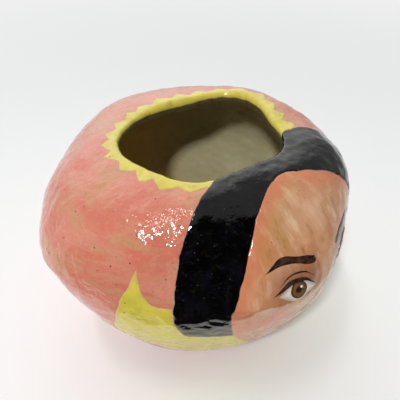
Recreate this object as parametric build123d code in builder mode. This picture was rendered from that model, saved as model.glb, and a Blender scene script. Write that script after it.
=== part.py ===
"""Hand-built face vase: a globular earthenware pot with a painted face, all sizes in millimetres.

The pot stands on the XY plane with its foot centred on the origin, and the face looks along -Y.
The clay pieces are a base slab, two wall rings joined at the belly by a bevelled seam, and a rim coil.
A liner glaze covers the inside. The hair, face, collar and features are coats of slip brushed on outside.
"""

import os
from math import cos, degrees, hypot, pi, radians, sin, sqrt, tan

from build123d import *

os.makedirs("parts", exist_ok=True)

# Driving dimensions of the clay
foot_radius = 45.0
belly_radius = 95.5
belly_height = 93.0
vase_height = 139.0
mouth_radius = 47.0
wall = 6.5
base_thickness = 9.0
rim_coil_radius = 3.7
bead_clearance = 0.1
seam_slope = 1.0
lower_fullness = 1.5
shoulder_fullness = 2.25

# Hand-built unevenness: lobes round the pot as (count, height, direction of one lobe in degrees)
lower_lobes = ((1, 1.6, 25.0), (2, 0.6, -75.0), (3, 1.8, -19.0), (4, 1.9, 18.0))
belly_lobes = ((2, 1.3, 88.0), (3, 1.0, 44.0), (4, 2.6, -7.0), (5, 1.2, -35.0))
shoulder_lobes = ((2, 1.5, 47.0), (3, 4.9, -50.0), (5, 1.1, -5.0))
mouth_lobes = ((2, 2.3, 6.0), (3, 1.1, 10.0), (4, 1.4, 23.0), (5, 1.6, 10.0))
mouth_shift_x = 5.0
mouth_shift_y = -2.9

# Thickness of the coats
liner_thickness = 0.8
slip_thickness = 0.8
line_thickness = 0.5

# Sawtooth collar round the mouth
tooth_count = 25
tooth_root = 0.9
tooth_height = 5.0

# Hair and wings: degrees either side of the face's middle, and distances over the surface from the belly line
hair_half_angle = 51.0
hair_rim_half_angle = 40.0
hair_end = -34.0
wing_half_angle = 75.0
wing_tip = 22.5
wing_end = -84.0

# The face, measured over the surface: across from its middle, and up or down from the belly line
hairline = 60.0
chin = -70.0
face_half_width = 55.0
eye_line = 4.0
eye_spacing = 44.0
eye_width = 22.0
eye_height = 10.0
iris_radius = 4.8
brow_line = 16.0
brow_width = 30.0
brow_thickness = 3.6
nose_base = -28.0
nose_width = 20.0
lip_line = -42.0
lip_width = 40.0
upper_lip = 6.0
lower_lip = 8.0

# Values that follow from the driving dimensions
rim_radius = mouth_radius + rim_coil_radius
rim_centre_height = vase_height - rim_coil_radius
shoulder_top = rim_centre_height + wall / 2
bead_half_width = sqrt(rim_coil_radius**2 - (wall / 2) ** 2) + bead_clearance
outer_turns = (0, 0.15, 0.3, 0.5, 0.75, 1, 1.25, 1.5, 1.7, 1.85, 2)
inner_turns = (0.1,) + outer_turns[1:]
ring_angles = [2 * pi * k / 20 for k in range(20)]
mouth_angles = [angle + 1.4 for angle in ring_angles]
wing_overlap = -3.0
aim_height = 0.8 * belly_height
aim_reach = (0.2 * belly_radius, 1.15 * belly_radius)


def profile(turn):
    """Radius and height of the clay's outside: turn 0 is the foot, 1 the belly and 2 the rim."""
    if turn <= 1:
        angle = turn * pi / 2
        power = 2 / lower_fullness
        radius = foot_radius + (belly_radius - foot_radius) * sin(angle) ** power
        return radius, belly_height * (1 - cos(angle) ** power)
    angle = (turn - 1) * pi / 2
    power = 2 / shoulder_fullness
    radius = rim_radius + (belly_radius - rim_radius) * max(cos(angle), 0) ** power
    return radius, belly_height + (shoulder_top - belly_height) * sin(angle) ** power


def inset_profile(turn, depth):
    """The same point moved in along the profile's normal by depth."""
    step = 0.001
    r0, z0 = profile(max(turn - step, 0))
    r1, z1 = profile(min(turn + step, 2))
    length = hypot(r1 - r0, z1 - z0)
    radius, height = profile(turn)
    return radius - depth * (z1 - z0) / length, height + depth * (r1 - r0) / length


def surface_point(over):
    """Radius and height at a distance over the surface from the belly line; past the rim it runs level."""
    step = 0.002 if over > 0 else -0.002
    turn = 1.0
    walked = 0.0
    radius, height = profile(turn)
    while walked < abs(over):
        turn += step
        if turn > 2:
            return radius - (abs(over) - walked), height
        next_radius, next_height = profile(max(turn, 0))
        walked += hypot(next_radius - radius, next_height - height)
        radius, height = next_radius, next_height
    return radius, height


def belly_to_rim():
    """Distance over the surface from the belly line to the rim coil's centre line."""
    points = [profile(1 + k / 200) for k in range(201)]
    return sum(hypot(b[0] - a[0], b[1] - a[1]) for a, b in zip(points, points[1:]))


def lobe_height(lobes, angle):
    return sum(height * cos(count * (angle - radians(at))) for count, height, at in lobes)


def ring_point(turn, radius, angle):
    """A point round the pot at one level: each set of lobes is fullest at its own level."""
    mouth_share = sin((turn - 1) * pi / 2) ** 2 if turn > 1 else 0
    belly_share = sin(turn * pi / 2) if turn < 1 else 1 - mouth_share
    between_share = abs(sin(turn * pi))
    radius += belly_share * lobe_height(belly_lobes, angle) + mouth_share * lobe_height(mouth_lobes, angle)
    radius += between_share * lobe_height(lower_lobes if turn < 1 else shoulder_lobes, angle)
    return mouth_share * mouth_shift_x + radius * cos(angle), mouth_share * mouth_shift_y + radius * sin(angle)


def mouth_point(offset, angle):
    """A point beside the rim coil's centre line in plan, offset outwards from it."""
    return ring_point(2, rim_radius + offset, angle)


def pot_form(depth, turns=outer_turns):
    """The pot as a solid, with its outside moved in by depth."""
    with BuildPart() as form:
        for turn in turns:
            radius, height = inset_profile(turn, depth)
            with BuildSketch(Plane.XY.offset(height)):
                with BuildLine():
                    Spline([ring_point(turn, radius, angle) for angle in ring_angles], periodic=True)
                make_face()
        loft()
    return form.part


def mouth_column(offset):
    """An upright column through the mouth, its outline offset from the rim coil's centre line."""
    with BuildPart() as column:
        with BuildSketch(Plane.XY.offset(belly_height)):
            with BuildLine():
                Spline([mouth_point(offset, angle) for angle in mouth_angles], periodic=True)
            make_face()
        extrude(amount=vase_height)
    return column.part


def rim_tube(outer_radius, inner_radius=0.0):
    """A round tube along the rim coil's centre line or, with an inner radius, the upper half of a sleeve."""
    with BuildPart() as tube:
        with BuildLine(Plane.XY.offset(rim_centre_height)) as path:
            Spline([mouth_point(0, angle) for angle in mouth_angles], periodic=True)
        tangent = path.line % 0
        inwards = Vector(0, 0, 1).cross(tangent)
        with BuildSketch(Plane(origin=path.line @ 0, x_dir=inwards, z_dir=tangent)):
            Circle(outer_radius)
            if inner_radius:
                Circle(inner_radius, mode=Mode.SUBTRACT)
                Rectangle(3 * outer_radius, outer_radius, align=(Align.CENTER, Align.MAX), mode=Mode.SUBTRACT)
        sweep()
    return tube.part


def aimed_cutter(curves, facing=0.0, paired=False):
    """A cutter that spreads from the pot's middle through the wall, so that its sides cut the wall square.

    Each curve lists (degrees from the face's middle, distance over the surface from the belly line). The
    curves meet end to end, and one alone is closed. A paired cutter has a mirror image across the face.
    """
    turned = radians(facing)
    ahead = Vector(sin(turned), -cos(turned), 0)
    across = Vector(cos(turned), sin(turned), 0)
    with BuildPart() as cutter:
        for reach in aim_reach:
            with BuildSketch(Plane(ahead * reach + Vector(0, 0, aim_height), x_dir=across, z_dir=ahead)):
                with BuildLine():
                    for curve in curves:
                        spots = []
                        for angle, over in curve:
                            radius, height = surface_point(over)
                            aside = radians(angle - facing)
                            rise = (height - aim_height) / (radius * cos(aside))
                            spots.append((reach * tan(aside), reach * rise))
                        Spline(spots, periodic=len(curves) == 1)
                make_face()
        loft(ruled=True)
        if paired:
            mirror(about=Plane.YZ)
    return cutter.part


def both_sides(half):
    """A closed outline from its right half, listed from the top down; the left half is its mirror image."""
    return half + [(-across, up) for across, up in reversed(half) if across > 0]


def on_face(points):
    """Points of the face in millimetres, (across, up), as (degrees, distance over the surface)."""
    return [(degrees(across / surface_point(up)[0]), up) for across, up in points]


def coat(cutter, top, bottom):
    """The layer between two forms of the pot, inside a cutter."""
    with BuildPart() as layer:
        add(cutter)
        add(top, mode=Mode.INTERSECT)
        add(bottom, mode=Mode.SUBTRACT)
    return layer.part


def hair_outline():
    rim = belly_to_rim()
    inside_mouth = rim + 2.5 * rim_coil_radius
    return both_sides([
        (0, inside_mouth),
        (0.6 * hair_rim_half_angle, inside_mouth),
        (0.93 * hair_rim_half_angle, rim + rim_coil_radius),
        (1.06 * hair_rim_half_angle, rim - rim_coil_radius),
        (0.91 * hair_half_angle, 0.84 * rim),
        (0.96 * hair_half_angle, 0.69 * rim),
        (0.99 * hair_half_angle, 0.45 * rim),
        (hair_half_angle, 0.18 * rim),
        (1.01 * hair_half_angle, 0.17 * hair_end),
        (hair_half_angle, 0.52 * hair_end),
        (0.95 * hair_half_angle, 0.85 * hair_end),
        (0.84 * hair_half_angle, 0.96 * hair_end),
        (0.6 * hair_half_angle, hair_end),
        (0.3 * hair_half_angle, hair_end),
        (0, hair_end),
    ])


def face_outline():
    return both_sides(on_face([
        (0, hairline),
        (0.22 * face_half_width, 0.93 * hairline),
        (0.5 * face_half_width, 0.74 * hairline),
        (0.75 * face_half_width, 0.48 * hairline),
        (0.93 * face_half_width, 0.18 * hairline),
        (face_half_width, 0.05 * chin),
        (0.95 * face_half_width, 0.28 * chin),
        (0.76 * face_half_width, 0.6 * chin),
        (0.42 * face_half_width, 0.9 * chin),
        (0, chin),
    ]))


def wing_curves():
    """A pointed shape that rises beside the hair and runs on below it to the middle, under the chin.

    The curves are its inner edge, two lines that the hair and the face hide, and its outer edge.
    """
    tip = (0.84 * wing_half_angle, wing_tip)
    under_hair = (0.88 * hair_half_angle, -0.05 * wing_tip)
    under_face = (wing_overlap, 0.5 * wing_end)
    middle = (wing_overlap, wing_end)
    inner_edge = [
        tip,
        (0.82 * wing_half_angle, 0.52 * wing_tip),
        (0.8 * wing_half_angle, 0.16 * wing_tip),
        (0.76 * wing_half_angle, -0.02 * wing_tip),
        under_hair,
    ]
    outer_edge = [
        middle,
        (0.3 * wing_half_angle, 0.99 * wing_end),
        (0.6 * wing_half_angle, 0.94 * wing_end),
        (0.83 * wing_half_angle, 0.79 * wing_end),
        (wing_half_angle, 0.48 * wing_end),
        (0.96 * wing_half_angle, 0.23 * wing_end),
        (0.917 * wing_half_angle, 0.03 * wing_end),
        (0.873 * wing_half_angle, 0.46 * wing_tip),
        tip,
    ]
    return [inner_edge, [under_hair, under_face], [under_face, middle], outer_edge]


def eye_curves():
    middle = eye_spacing / 2
    inner = (middle - eye_width / 2, eye_line - 0.06 * eye_height)
    outer = (middle + eye_width / 2, eye_line + 0.06 * eye_height)
    upper = [inner, (middle - 0.2 * eye_width, eye_line + 0.5 * eye_height)]
    upper += [(middle + 0.16 * eye_width, eye_line + 0.54 * eye_height), outer]
    lower = [outer, (middle + 0.08 * eye_width, eye_line - 0.46 * eye_height), inner]
    return [on_face(upper), on_face(lower)]


def iris_curves():
    middle = eye_spacing / 2
    steps = [2 * pi * k / 8 for k in range(8)]
    return [on_face([(middle + iris_radius * cos(a), eye_line + iris_radius * sin(a)) for a in steps])]


def brow_curves():
    """An arched brow, thick at its inner end and pointed at its outer end."""
    start = eye_spacing / 2 - 0.42 * brow_width
    end = start + brow_width
    crest = start + 0.58 * brow_width
    top = [(start, brow_line + brow_thickness / 2), (crest, brow_line + 1.7 * brow_thickness), (end, brow_line)]
    under = [top[-1], (crest, brow_line + 0.8 * brow_thickness), (start, brow_line - brow_thickness / 2)]
    return [on_face(top), on_face(under), on_face([under[-1], top[0]])]


def nose_outline():
    return both_sides(on_face([
        (0, eye_line + 0.3 * eye_height),
        (0.16 * nose_width, eye_line - 0.5 * eye_height),
        (0.2 * nose_width, nose_base + 0.8 * nose_width),
        (0.42 * nose_width, nose_base + 0.38 * nose_width),
        (0.5 * nose_width, nose_base + 0.1 * nose_width),
        (0.32 * nose_width, nose_base - 0.06 * nose_width),
        (0, nose_base - 0.16 * nose_width),
    ]))


def lip_curves():
    half = lip_width / 2
    bow = [(-half, 0), (-0.55 * half, 0.68 * upper_lip), (-0.2 * half, upper_lip), (0, 0.78 * upper_lip)]
    bow += [(-across, up) for across, up in reversed(bow[:-1])]
    under = [(half, 0), (0.5 * half, -0.8 * lower_lip), (0, -lower_lip), (-0.5 * half, -0.8 * lower_lip), (-half, 0)]
    return [on_face([(across, lip_line + up) for across, up in curve]) for curve in (bow, under)]


outside = pot_form(0)
cavity = pot_form(wall, inner_turns)
slip_form = pot_form(-slip_thickness)
line_form = pot_form(-slip_thickness - line_thickness)
coil_tube = rim_tube(rim_coil_radius)
bead_column = mouth_column(bead_half_width)
hair_cutter = aimed_cutter([hair_outline()])
face_cutter = aimed_cutter([face_outline()])
eye_cutter = aimed_cutter(eye_curves(), paired=True)
iris_cutter = aimed_cutter(iris_curves(), paired=True)

# Base slab that the pot is built up on
with BuildPart() as base_slab:
    add(outside)
    split(bisect_by=Plane.XY.offset(base_thickness), keep=Keep.BOTTOM)
base_slab.part.label = "base_slab"
export_step(base_slab.part, "parts/base_slab.step")

# Everything above the bevelled seam at the belly
with BuildPart() as above_seam:
    seam_start = belly_radius - 2 * wall
    seam_end = 1.3 * belly_radius
    with BuildSketch(Plane.XZ):
        with BuildLine():
            Polyline(
                (0, belly_height + seam_slope * (seam_start - belly_radius)),
                (seam_start, belly_height + seam_slope * (seam_start - belly_radius)),
                (seam_end, belly_height + seam_slope * (seam_end - belly_radius)),
                (seam_end, 2 * vase_height),
                (0, 2 * vase_height),
                close=True,
            )
        make_face()
    revolve(axis=Axis.Z)

# Lower wall, from the base to the seam
with BuildPart() as lower_wall:
    add(outside)
    split(bisect_by=Plane.XY.offset(base_thickness), keep=Keep.TOP)
    add(cavity, mode=Mode.SUBTRACT)
    add(above_seam.part, mode=Mode.SUBTRACT)
lower_wall.part.label = "lower_wall"
export_step(lower_wall.part, "parts/lower_wall.step")

# Shoulder wall, from the seam to the groove that the rim coil is pressed into
with BuildPart() as shoulder_wall:
    add(outside)
    add(cavity, mode=Mode.SUBTRACT)
    add(above_seam.part, mode=Mode.INTERSECT)
    add(mouth_column(bead_half_width / 2), mode=Mode.SUBTRACT)
    add(coil_tube, mode=Mode.SUBTRACT)
shoulder_wall.part.label = "shoulder_wall"
export_step(shoulder_wall.part, "parts/shoulder_wall.step")

# Rim coil, a rolled string of clay round the mouth
with BuildPart() as rim_coil:
    add(coil_tube)
rim_coil.part.label = "rim_coil"
export_step(rim_coil.part, "parts/rim_coil.step")

# Liner glaze, over the floor and up the inside to the coil
with BuildPart() as water_space:
    add(pot_form(wall + liner_thickness, inner_turns))
    split(bisect_by=Plane.XY.offset(base_thickness + liner_thickness), keep=Keep.TOP)

with BuildPart() as liner_glaze:
    add(cavity)
    split(bisect_by=Plane.XY.offset(base_thickness), keep=Keep.TOP)
    add(water_space.part, mode=Mode.SUBTRACT)
    add(bead_column, mode=Mode.SUBTRACT)
liner_glaze.part.label = "liner_glaze"
export_step(liner_glaze.part, "parts/liner_glaze.step")

# Hair, over the shoulder and the top of the rim coil
with BuildPart() as hair_over_lip:
    add(rim_tube(rim_coil_radius + slip_thickness, rim_coil_radius))
    add(hair_cutter, mode=Mode.INTERSECT)
    add(shoulder_wall.part, mode=Mode.SUBTRACT)

with BuildPart() as hair_slip:
    add(coat(hair_cutter, slip_form, outside))
    add(face_cutter, mode=Mode.SUBTRACT)
    add(bead_column, mode=Mode.SUBTRACT)
    add(hair_over_lip.part)
hair_slip.part.label = "hair_slip"
export_step(hair_slip.part, "parts/hair_slip.step")

# Face, inside the arch of the hair
with BuildPart() as face_slip:
    add(coat(face_cutter, slip_form, outside))
face_slip.part.label = "face_slip"
export_step(face_slip.part, "parts/face_slip.step")

# Sawtooth collar round the mouth, broken by the hair
with BuildPart() as collar_slip:
    with BuildSketch(Plane.XY.offset(belly_height)):
        with BuildLine():
            tooth_points = []
            for k in range(2 * tooth_count):
                reach = bead_half_width + tooth_root + (tooth_height if k % 2 else 0)
                tooth_points.append(mouth_point(reach, pi * (k + 0.5) / tooth_count))
            Polyline(tooth_points, close=True)
        make_face()
    extrude(amount=vase_height)
    add(slip_form, mode=Mode.INTERSECT)
    add(outside, mode=Mode.SUBTRACT)
    add(bead_column, mode=Mode.SUBTRACT)
    add(hair_cutter, mode=Mode.SUBTRACT)
collar_slip.part.label = "collar_slip"
export_step(collar_slip.part, "parts/collar_slip.step")

# Pointed wings beside the hair, joined below the chin
with BuildPart() as wing_slip:
    add(aimed_cutter(wing_curves(), facing=wing_half_angle / 2, paired=True))
    add(hair_cutter, mode=Mode.SUBTRACT)
    add(face_cutter, mode=Mode.SUBTRACT)
    add(slip_form, mode=Mode.INTERSECT)
    add(outside, mode=Mode.SUBTRACT)
wing_slip.part.label = "wing_slip"
export_step(wing_slip.part, "parts/wing_slip.step")

# Features of the face, laid on the face slip
with BuildPart() as brow_slip:
    add(coat(aimed_cutter(brow_curves(), paired=True), line_form, slip_form))
brow_slip.part.label = "brow_slip"
export_step(brow_slip.part, "parts/brow_slip.step")

with BuildPart() as eye_slip:
    add(coat(eye_cutter, line_form, slip_form))
    add(iris_cutter, mode=Mode.SUBTRACT)
eye_slip.part.label = "eye_slip"
export_step(eye_slip.part, "parts/eye_slip.step")

with BuildPart() as iris_slip:
    add(coat(iris_cutter, line_form, slip_form))
    add(eye_cutter, mode=Mode.INTERSECT)
iris_slip.part.label = "iris_slip"
export_step(iris_slip.part, "parts/iris_slip.step")

with BuildPart() as nose_slip:
    add(coat(aimed_cutter([nose_outline()]), line_form, slip_form))
nose_slip.part.label = "nose_slip"
export_step(nose_slip.part, "parts/nose_slip.step")

with BuildPart() as lip_slip:
    add(coat(aimed_cutter(lip_curves()), line_form, slip_form))
lip_slip.part.label = "lip_slip"
export_step(lip_slip.part, "parts/lip_slip.step")
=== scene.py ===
"""Looks of the hand-built face vase: lumpy glazed clay, brushed slip and a painted face.

Lengths are in millimetres until a mesh is made; the floor, lamps and sky are in metres and watts. The pot's
surface is one meridian line turned round the axis. Distances over the surface are measured along that line
from the belly: down to the foot below 0, and up the shoulder and over the lip above it.
"""

from math import cos, pi, radians, sin

import bpy
import numpy as np
from mathutils import Matrix, Vector, noise
from mathutils.geometry import delaunay_2d_cdt


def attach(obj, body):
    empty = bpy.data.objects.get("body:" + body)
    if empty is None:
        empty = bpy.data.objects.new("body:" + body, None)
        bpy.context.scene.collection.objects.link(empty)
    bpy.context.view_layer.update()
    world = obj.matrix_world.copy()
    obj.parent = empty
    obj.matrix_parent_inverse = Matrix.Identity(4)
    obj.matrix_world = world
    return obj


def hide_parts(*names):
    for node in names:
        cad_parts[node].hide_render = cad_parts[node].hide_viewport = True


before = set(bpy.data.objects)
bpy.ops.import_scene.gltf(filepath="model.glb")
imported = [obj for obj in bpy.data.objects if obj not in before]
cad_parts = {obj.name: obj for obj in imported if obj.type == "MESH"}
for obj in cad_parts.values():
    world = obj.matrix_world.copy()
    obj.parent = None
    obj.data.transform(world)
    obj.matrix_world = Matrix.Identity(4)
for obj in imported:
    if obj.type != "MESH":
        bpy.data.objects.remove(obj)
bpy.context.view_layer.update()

MM = 0.001

# Clay, with the same driving sizes as the solids; a lobe is (waves round the pot, height, direction)
foot_radius = 45.0
belly_radius = 95.5
belly_height = 93.0
vase_height = 139.0
mouth_radius = 47.0
wall = 6.5
base_thickness = 9.0
rim_coil_radius = 3.7
lower_fullness = 1.5
shoulder_fullness = 2.25
lower_lobes = ((1, 1.6, 25.0), (2, 0.6, -75.0), (3, 1.8, -19.0), (4, 1.9, 18.0))
belly_lobes = ((2, 1.3, 88.0), (3, 1.0, 44.0), (4, 2.6, -7.0), (5, 1.2, -35.0))
shoulder_lobes = ((2, 1.5, 47.0), (3, 4.9, -50.0), (5, 1.1, -5.0))
mouth_lobes = ((2, 2.3, 6.0), (3, 1.1, 10.0), (4, 1.4, 23.0), (5, 1.6, 10.0))
lip_rise = ((1, 1.5, -64.0), (2, 0.9, 13.0), (3, 0.5, 23.0))
mouth_shift = (5.0, -2.9)
liner_thickness = 0.8

# Marks left by the hands: a slump of the shoulder, then swells, finger dimples, ripples and a fuller lip
slump_depth, slump_at, slump_narrowness = 4.0, -148.0, 4
swell_height, swell_breadth = 1.5, 36.0
dimple_depth, dimple_breadth = 1.1, 17.0
ridge_mean, ridge_sharpness = 0.49, 9
ripple_height, ripple_breadth = 0.34, 5.0
smooth_foot_height = 14.0
lip_bulge, lip_bulge_reach = 0.3, 8.0
lip_fullness = 2.7

# Coats of slip: thickness, the rounded edge, and how deep a coat's underside lies in the clay
slip_thickness = 0.3
hair_thickness = 0.45
nose_thickness = 0.5
line_thickness = 0.22
edge_thickness = 0.03
edge_width = 0.9
nose_edge_width = 2.6
sunk = 0.5

# Liner glaze: where it starts on the lip, how far its face stands off the clay, and how deep its back lies
liner_start_share = 0.42
liner_proud = 0.3 * liner_thickness
liner_sunk = 4 * liner_proud
liner_floor_sunk = 4 * liner_thickness

# Hand-drawn outlines: the breadths of a slow and a quick shake, and the quick one's share
slow_shake, quick_shake, quick_share = 7.0, 2.5, 0.25

# Hair, collar and wings: degrees from the face's middle and distances over the surface from the belly line
hair_half_angle = 51.0
hair_rim_half_angle = 40.0
hair_end = -34.0
hair_right_extra = 4.0
hair_lip_gap = 1.2
tooth_count = 25
tooth_root = 2.2
tooth_height = 5.6
valley_jitter, valley_drift = 0.8, 0.12
tip_jitter, tip_drift = 0.45, 0.22
collar_overlap = 0.6
wing_half_angle = 75.0
wing_tip = 22.5
wing_end = -84.0

# The face, over the surface: across from its middle, and up or down from the belly line
hairline = 60.0
chin = -70.0
face_half_width = 55.0
eye_line = 4.0
eye_spacing = 44.0
eye_width = 22.0
eye_height = 10.0
iris_radius = 4.8
pupil_radius = 2.1
glint_radius = 0.8
lash_width = 1.5
brow_line = 16.0
brow_width = 30.0
brow_thickness = 3.6
nose_base = -28.0
nose_width = 20.0
lip_line = -42.0
lip_width = 40.0
upper_lip = 6.0
lower_lip = 8.0

# How finely all this is drawn: rows over the surface, columns round the pot, and spacings in the coats
profile_rows, lip_rows = 400, 120
wall_row_step, hidden_coarseness = 1.2, 4
coil_rows, buried_rows = 26, 6
liner_lip_rows, liner_rows = 12, 140
slab_rows, slab_round = 12, 0.6
wall_columns, slab_columns, liner_columns = 480, 360, 300
coat_spacing, collar_spacing, mouth_spacing = 1.1, 1.4, 0.7
outline_spacing = 0.7
disc_points = 48
smooth_angle = 50.0

# The photograph's camera, worked out from its perspective
camera_place = (-165.8, -166.7, 274.4)
camera_looks = (0.5645, 0.5456, -0.6194)
camera_lens = 41.4
camera_sensor = 36.0
camera_clip = 0.01

# Light: steps of the sky about an axis (cosines, levels), two lamps (place, sides, watts), card and backdrop
sky_axis = (0.45, 0.78, 0.43)
sky_steps = ((-0.16, 0.0, 0.008, 0.37), (0.6, 1.0, 0.0, 1.05))
sky_colour = (1.0, 1.0, 0.99, 1.0)
lamp_colour = (1.0, 0.99, 0.98)
front_place, front_sizes, front_watts = (-1.50, -0.67, 1.97), (0.22, 0.26), 36.0
ceiling_place, ceiling_sizes, ceiling_watts = (-0.62, 0.12, 2.46), (0.16, 0.60), 8.0
flag_start, flag_end, flag_width, flag_height = 0.105, 3.9, 3.0, 0.001
floor_reach = 4.0
backdrop_level, backdrop_fade = 0.87, (0.25, 1.0)

# Derived sizes, and the radius at which angles round the pot are laid flat
rim_radius = mouth_radius + rim_coil_radius
rim_centre_height = vase_height - rim_coil_radius
lip_radius = wall / 2
shoulder_top = rim_centre_height + lip_radius
flat_radius = 80.0


# Surface of the pot

def profile(turn):
    """Radius and height of the outside: turn 0 is the foot, 1 the belly and 2 the rim."""
    low = np.clip(turn, 0, 1) * pi / 2
    high = np.clip(turn - 1, 0, 1) * pi / 2
    low_power, high_power = 2 / lower_fullness, 2 / shoulder_fullness
    below = foot_radius + (belly_radius - foot_radius) * np.sin(low) ** low_power
    above = rim_radius + (belly_radius - rim_radius) * np.abs(np.cos(high)) ** high_power
    low_height = belly_height * (1 - np.abs(np.cos(low)) ** low_power)
    high_height = belly_height + (shoulder_top - belly_height) * np.sin(high) ** high_power
    return np.where(turn <= 1, below, above), np.where(turn <= 1, low_height, high_height)


def meridian():
    """Along the outside, foot to lip: distance, radius, height, normal, and the share of each lobe table."""
    turn = np.linspace(0, 2, 2 * profile_rows + 1)
    radius, height = profile(turn)
    around = np.linspace(0, pi, lip_rows + 1)[1:]
    lip_power = 2 / lip_fullness
    tall = np.sign(np.cos(around)) * np.abs(np.cos(around)) ** lip_power
    radius = np.concatenate([radius, rim_radius - lip_radius * np.abs(np.sin(around)) ** lip_power])
    height = np.concatenate([height, rim_centre_height + lip_radius * tall])
    turn = np.concatenate([turn, np.full(around.shape, 2.0)])
    distance = np.concatenate([[0], np.cumsum(np.hypot(np.diff(radius), np.diff(height)))])
    distance -= distance[profile_rows]
    mouth = np.where(turn > 1, np.sin((turn - 1) * pi / 2) ** 2, 0)
    belly = np.where(turn < 1, np.sin(turn * pi / 2), 1 - mouth)
    shoulder = np.where(turn > 1, np.sin((turn - 1) * pi), 0)
    lower = np.where(turn < 1, np.sin(turn * pi), 0)
    slope_r, slope_z = np.gradient(radius, distance), np.gradient(height, distance)
    size = np.hypot(slope_r, slope_z)
    shares = [mouth, belly, shoulder, lower]
    return np.array([distance, radius, height, slope_z / size, -slope_r / size] + shares)


# Distances over the surface: the foot, the lip's top and inner end, the slab's top and the yellow's end
LINE = meridian()
DISTANCE, RADIUS, HEIGHT = LINE[:3]
FOOT, CROWN, LIP_END = DISTANCE[0], DISTANCE[2 * profile_rows], DISTANCE[-1]
FLOOR = np.interp(base_thickness, HEIGHT, DISTANCE)
YELLOW_END = CROWN + liner_start_share * (LIP_END - CROWN)


def lobes(table, angle):
    """The sum of a table's waves round the pot."""
    return sum(height * np.cos(count * (angle - radians(at))) for count, height, at in table)


def smooth_step(low, high, value):
    """0 below low, 1 above high, and a smooth rise between."""
    share = np.clip((value - low) / (high - low), 0, 1)
    return share * share * (3 - 2 * share)


def hand_marks(points):
    """How far the clay stands out at each point: swells, finger dimples with soft ridges, and ripples."""
    out = np.empty(len(points))
    for k, point in enumerate(points):
        spot = Vector(point)
        swell = noise.noise(spot / swell_breadth)
        nearest = noise.voronoi(spot / dimple_breadth)[0]
        ridge = -np.log(sum(np.exp(-ridge_sharpness * reach) for reach in nearest)) / ridge_sharpness
        ripple = noise.noise(spot / ripple_breadth)
        out[k] = swell_height * swell + dimple_depth * (ridge - ridge_mean) + ripple_height * ripple
    return out * smooth_step(0, smooth_foot_height, points[:, 2])


def on_pot(angle, over, lift=0.0):
    """Points of the outside, lifted along its normal; angle is in radians from +X."""
    radius, height, normal_r, normal_z, *shares = (np.interp(over, DISTANCE, row) for row in LINE[1:])
    tables = (mouth_lobes, belly_lobes, shoulder_lobes, lower_lobes)
    uneven = sum(share * lobes(table, angle) for share, table in zip(shares, tables))
    mouth, _, shoulder, _ = shares
    facing = (1 + np.cos(angle - radians(slump_at))) / 2
    uneven -= slump_depth * shoulder * facing**slump_narrowness

    def place(out):
        reach = radius + uneven + out * normal_r
        x = mouth * mouth_shift[0] + reach * np.cos(angle)
        y = mouth * mouth_shift[1] + reach * np.sin(angle)
        return np.stack([x, y, height + mouth**2 * lobes(lip_rise, angle) + out * normal_z], axis=-1)

    bulge = lip_bulge * np.clip(1 - np.abs(over - (CROWN + LIP_END) / 2) / lip_bulge_reach, 0, 1)
    return place(lift + bulge + hand_marks(place(0.0)))


def ring(angles, over, lift=0.0):
    """One turn round the pot at a distance over its surface."""
    return on_pot(angles, np.full_like(angles, over), lift)


# Meshes

def make_piece(name, points, faces, material, node):
    """An object of points in millimetres that rides on the pot and stands for a CAD node."""
    mesh = bpy.data.meshes.new(name)
    mesh.from_pydata((np.asarray(points) * MM).tolist(), [], faces)
    mesh.validate()
    mesh.shade_smooth()
    mesh.set_sharp_from_angle(angle=radians(smooth_angle))
    mesh.materials.append(material)
    piece = bpy.data.objects.new(name, mesh)
    bpy.context.scene.collection.objects.link(piece)
    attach(piece, "root")
    if node:
        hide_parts(node)
    return piece


def store(piece, name, kind, values):
    """Keep a value per point for the material, in millimetres."""
    attribute = piece.data.attributes.new(name, kind, "POINT")
    attribute.data.foreach_set("vector" if kind == "FLOAT_VECTOR" else "value", np.ravel(values))


def ring_piece(name, section, count, material):
    """A closed ring, or a closed cap where the section starts and ends on the axis.

    The section is a function of an array of angles that gives one array of points per row of the ring.
    """
    rows = section(np.linspace(0, 2 * pi, count, endpoint=False))
    faces = []
    for k in range(len(rows)):
        here, there = k * count, (k + 1) % len(rows) * count
        for j in range(count):
            after = (j + 1) % count
            faces.append((here + j, here + after, there + after, there + j))
    return make_piece(name, np.concatenate(rows), faces, material, name)


def wall_section(start, end):
    """Round a wall ring: up its outside, then down its inside, which the liner hides."""
    count = int((end - start) / wall_row_step) + 2
    outer = [(over, 0.0) for over in np.linspace(start, end, count)]
    inner = [(over, liner_thickness - wall) for over in np.linspace(end, start, count // hidden_coarseness)]
    return lambda angles: [ring(angles, over, lift) for over, lift in outer + inner]


def coil_section(angles):
    """Round the lip: over its visible half, then back through the wall that hides the rest."""
    visible = [ring(angles, over) for over in np.linspace(CROWN, LIP_END, coil_rows)]
    lifts = np.linspace(-wall, 0, buried_rows + 2)[1:-1]
    return visible + [ring(angles, CROWN - lip_radius, lift) for lift in lifts]


def liner_section(angles):
    """The glaze inside: its face from the lip to the floor's middle, then its back, sunk in the clay."""

    def face(proud, floor):
        rows = [ring(angles, over, proud) for over in np.linspace(YELLOW_END, LIP_END, liner_lip_rows)]
        for over in np.linspace(CROWN - 1, FOOT + base_thickness, liner_rows):
            row = ring(angles, over, -wall - proud)
            row[:, 2] = np.maximum(row[:, 2], floor)
            rows.append(row)
        return rows + [rows[-1] * (share, share, 1) for share in (0.75, 0.5, 0.25, 0.02)]

    visible = face(liner_proud, base_thickness + liner_thickness)
    back = face(-liner_sunk, base_thickness - liner_floor_sunk)
    return visible + back[::-1]


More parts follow.
